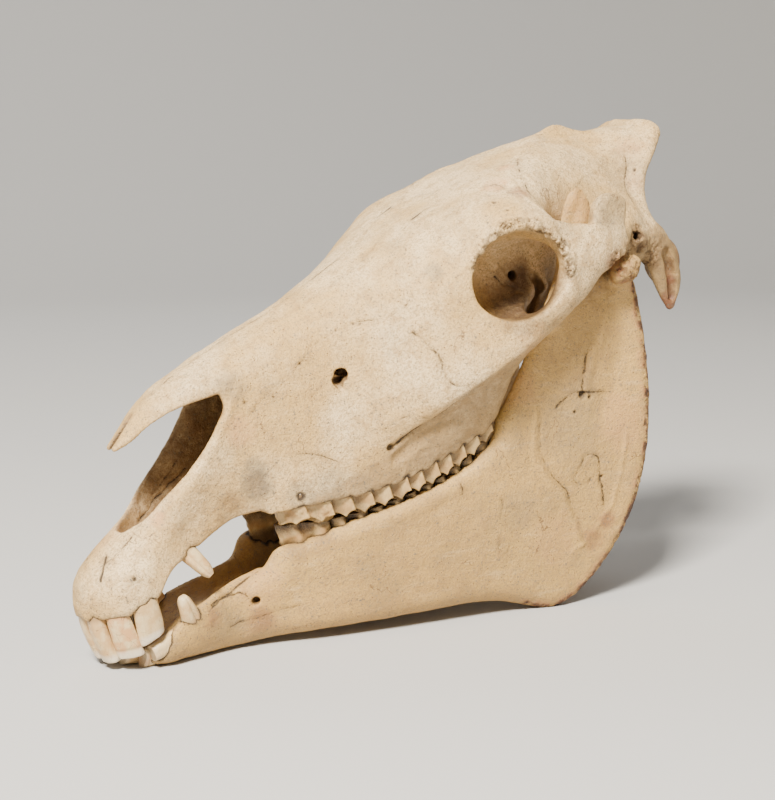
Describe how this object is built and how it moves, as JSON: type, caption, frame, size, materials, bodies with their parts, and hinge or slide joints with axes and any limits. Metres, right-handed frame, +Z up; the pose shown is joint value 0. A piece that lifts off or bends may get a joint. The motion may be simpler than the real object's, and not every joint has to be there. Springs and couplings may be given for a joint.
{
  "type": "zebra skull",
  "caption": "Life-size zebra skull with closed lower jaw and full set of worn teeth, lying on chin and jaw angles as a still display model.",
  "frame": {"origin": "centre of the bounding box at its bottom, on the floor", "axes": "+X from the incisors back to the occiput, along the floor; +Y towards the animal's right; +Z up"},
  "size_m": [0.4512, 0.1944, 0.3196],
  "materials": {
    "cranium_bone": "dry, cream coloured bone with fine pores and sutures",
    "mandible_bone": "dry, cream coloured bone with fine pores",
    "teeth": "worn tooth with cement, tan to ivory, softly glossy"
  },
  "bodies": {
    "root": {"cranium": "cranium_bone", "mandible": "mandible_bone"}
  },
  "joints": []
}
